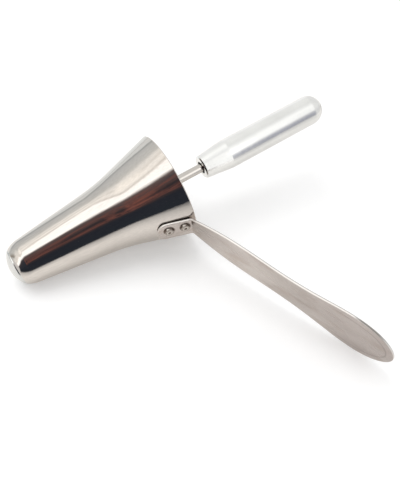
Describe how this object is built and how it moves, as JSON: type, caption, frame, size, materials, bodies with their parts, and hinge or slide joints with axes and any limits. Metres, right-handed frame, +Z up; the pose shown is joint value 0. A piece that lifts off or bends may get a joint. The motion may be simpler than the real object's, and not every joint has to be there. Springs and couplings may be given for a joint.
{
  "type": "rectal speculum",
  "caption": "Tubular steel rectal speculum with a flared mouth, a riveted spatula-shaped strap handle and a loose obturator with a round grip.",
  "frame": {"origin": "centre of the bottom of the bounding box, with the instrument lying on the tube's tip, the mouth's rim and the handle's lower edge", "axes": "+X from the tube's tip towards the obturator's grip, level; +Z up; the handle points to -Y and lies low"},
  "size_m": [0.164, 0.1438, 0.0489],
  "materials": {
    "polished_steel": "mirror polished, with fine satin streaks along the tube",
    "satin_steel": "satin",
    "rod_steel": "polished",
    "turned_aluminium": "fine turned, softly bright"
  },
  "bodies": {
    "speculum": {"speculum_tube": "polished_steel", "handle_blade": "satin_steel", "rivet_front": "satin_steel", "rivet_rear": "satin_steel"},
    "obturator": {"obturator_nose": "turned_aluminium", "obturator_rod": "rod_steel", "obturator_grip": "turned_aluminium"}
  },
  "joints": [
    {"name": "obturator_slide", "type": "slide", "parent": "speculum", "child": "obturator", "axis": [0.9807, 0, 0.1957], "range_m": [0, 0.095]}
  ]
}
